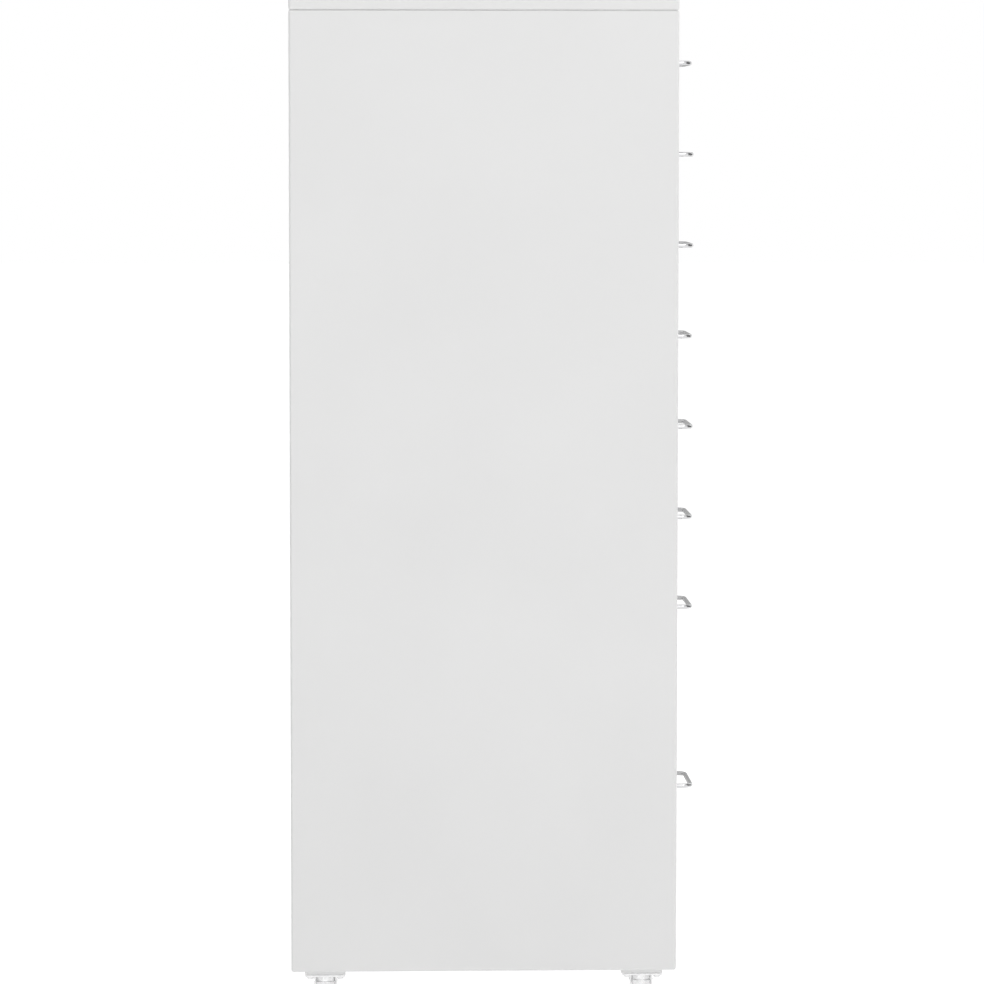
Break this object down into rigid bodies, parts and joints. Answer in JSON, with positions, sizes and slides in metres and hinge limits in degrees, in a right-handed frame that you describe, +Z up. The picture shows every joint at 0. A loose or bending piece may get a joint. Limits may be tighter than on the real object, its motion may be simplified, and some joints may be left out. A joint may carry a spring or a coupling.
{
  "type": "mobile drawer cabinet",
  "caption": "Tall narrow sheet steel drawer cabinet on swivel casters, with wire bow handles and a deep lowest drawer.",
  "frame": {"origin": "centre of the bounding box, on the floor under the casters", "axes": "+Z up, -Y towards the front with the drawers and handles, +X to the right of somebody who looks along +Y at the front"},
  "size_m": [0.28, 0.4348, 1.09],
  "materials": {
    "white_steel": "fine satin powder coat",
    "chrome_wire": "polished chrome plate",
    "galvanised_steel": "zinc coated",
    "zinc_steel": "bright zinc plate",
    "wheel_polymer": "satin moulded"
  },
  "bodies": {
    "cabinet": {"side_panel_left": "white_steel", "side_panel_right": "white_steel", "back_panel": "white_steel", "lid": "white_steel", "top_rail": "white_steel", "plinth_rail": "white_steel", "base_pan": "white_steel", "runner_frame_left": "galvanised_steel", "runner_frame_right": "galvanised_steel", "lid_screws": "zinc_steel", "caster_screws": "zinc_steel", "caster_nuts": "zinc_steel", "caster_front_left_plate": "zinc_steel", "caster_front_right_plate": "zinc_steel", "caster_rear_left_plate": "zinc_steel", "caster_rear_right_plate": "zinc_steel"},
    "drawer_1": {"drawer_1_front": "white_steel", "drawer_1_tray": "white_steel", "drawer_1_handle": "chrome_wire", "drawer_1_nuts": "zinc_steel"},
    "drawer_2": {"drawer_2_front": "white_steel", "drawer_2_tray": "white_steel", "drawer_2_handle": "chrome_wire", "drawer_2_nuts": "zinc_steel"},
    "drawer_3": {"drawer_3_front": "white_steel", "drawer_3_tray": "white_steel", "drawer_3_handle": "chrome_wire", "drawer_3_nuts": "zinc_steel"},
    "drawer_4": {"drawer_4_front": "white_steel", "drawer_4_tray": "white_steel", "drawer_4_handle": "chrome_wire", "drawer_4_nuts": "zinc_steel"},
    "drawer_5": {"drawer_5_front": "white_steel", "drawer_5_tray": "white_steel", "drawer_5_handle": "chrome_wire", "drawer_5_nuts": "zinc_steel"},
    "drawer_6": {"drawer_6_front": "white_steel", "drawer_6_tray": "white_steel", "drawer_6_handle": "chrome_wire", "drawer_6_nuts": "zinc_steel"},
    "drawer_7": {"drawer_7_front": "white_steel", "drawer_7_tray": "white_steel", "drawer_7_handle": "chrome_wire", "drawer_7_nuts": "zinc_steel"},
    "drawer_8": {"drawer_8_front": "white_steel", "drawer_8_tray": "white_steel", "drawer_8_handle": "chrome_wire", "drawer_8_nuts": "zinc_steel"},
    "caster_front_left": {"caster_front_left_fork": "zinc_steel", "caster_front_left_axle": "zinc_steel"},
    "wheel_front_left": {"caster_front_left_wheel": "wheel_polymer"},
    "caster_front_right": {"caster_front_right_fork": "zinc_steel", "caster_front_right_axle": "zinc_steel"},
    "wheel_front_right": {"caster_front_right_wheel": "wheel_polymer"},
    "caster_rear_left": {"caster_rear_left_fork": "zinc_steel", "caster_rear_left_axle": "zinc_steel"},
    "wheel_rear_left": {"caster_rear_left_wheel": "wheel_polymer"},
    "caster_rear_right": {"caster_rear_right_fork": "zinc_steel", "caster_rear_right_axle": "zinc_steel"},
    "wheel_rear_right": {"caster_rear_right_wheel": "wheel_polymer"}
  },
  "joints": [
    {"name": "drawer_1_slide", "type": "slide", "parent": "cabinet", "child": "drawer_1", "axis": [0, -1, 0], "range_m": [0, 0.3]},
    {"name": "drawer_2_slide", "type": "slide", "parent": "cabinet", "child": "drawer_2", "axis": [0, -1, 0], "range_m": [0, 0.3]},
    {"name": "drawer_3_slide", "type": "slide", "parent": "cabinet", "child": "drawer_3", "axis": [0, -1, 0], "range_m": [0, 0.3]},
    {"name": "drawer_4_slide", "type": "slide", "parent": "cabinet", "child": "drawer_4", "axis": [0, -1, 0], "range_m": [0, 0.3]},
    {"name": "drawer_5_slide", "type": "slide", "parent": "cabinet", "child": "drawer_5", "axis": [0, -1, 0], "range_m": [0, 0.3]},
    {"name": "drawer_6_slide", "type": "slide", "parent": "cabinet", "child": "drawer_6", "axis": [0, -1, 0], "range_m": [0, 0.3]},
    {"name": "drawer_7_slide", "type": "slide", "parent": "cabinet", "child": "drawer_7", "axis": [0, -1, 0], "range_m": [0, 0.3]},
    {"name": "drawer_8_slide", "type": "slide", "parent": "cabinet", "child": "drawer_8", "axis": [0, -1, 0], "range_m": [0, 0.3]},
    {"name": "caster_front_left_swivel", "type": "hinge", "parent": "cabinet", "child": "caster_front_left", "pos_m": [-0.1133, -0.1566, 0.0464], "axis": [0, 0, 1], "continuous": true},
    {"name": "caster_front_left_spin", "type": "hinge", "parent": "caster_front_left", "child": "wheel_front_left", "pos_m": [-0.10032, -0.15728, 0.019], "axis": [-0.0523, -0.9986, 0], "continuous": true},
    {"name": "caster_front_right_swivel", "type": "hinge", "parent": "cabinet", "child": "caster_front_right", "pos_m": [0.1133, -0.1566, 0.0464], "axis": [0, 0, 1], "continuous": true},
    {"name": "caster_front_right_spin", "type": "hinge", "parent": "caster_front_right", "child": "wheel_front_right", "pos_m": [0.11149, -0.16947, 0.019], "axis": [-0.9903, 0.1392, 0], "continuous": true},
    {"name": "caster_rear_left_swivel", "type": "hinge", "parent": "cabinet", "child": "caster_rear_left", "pos_m": [-0.1133, 0.1814, 0.0464], "axis": [0, 0, 1], "continuous": true},
    {"name": "caster_rear_left_spin", "type": "hinge", "parent": "caster_rear_left", "child": "wheel_rear_left", "pos_m": [-0.10032, 0.18208, 0.019], "axis": [0.0523, -0.9986, 0], "continuous": true},
    {"name": "caster_rear_right_swivel", "type": "hinge", "parent": "cabinet", "child": "caster_rear_right", "pos_m": [0.1133, 0.1814, 0.0464], "axis": [0, 0, 1], "continuous": true},
    {"name": "caster_rear_right_spin", "type": "hinge", "parent": "caster_rear_right", "child": "wheel_rear_right", "pos_m": [0.1003, 0.18163, 0.019], "axis": [0.0175, 0.9998, 0], "continuous": true}
  ]
}
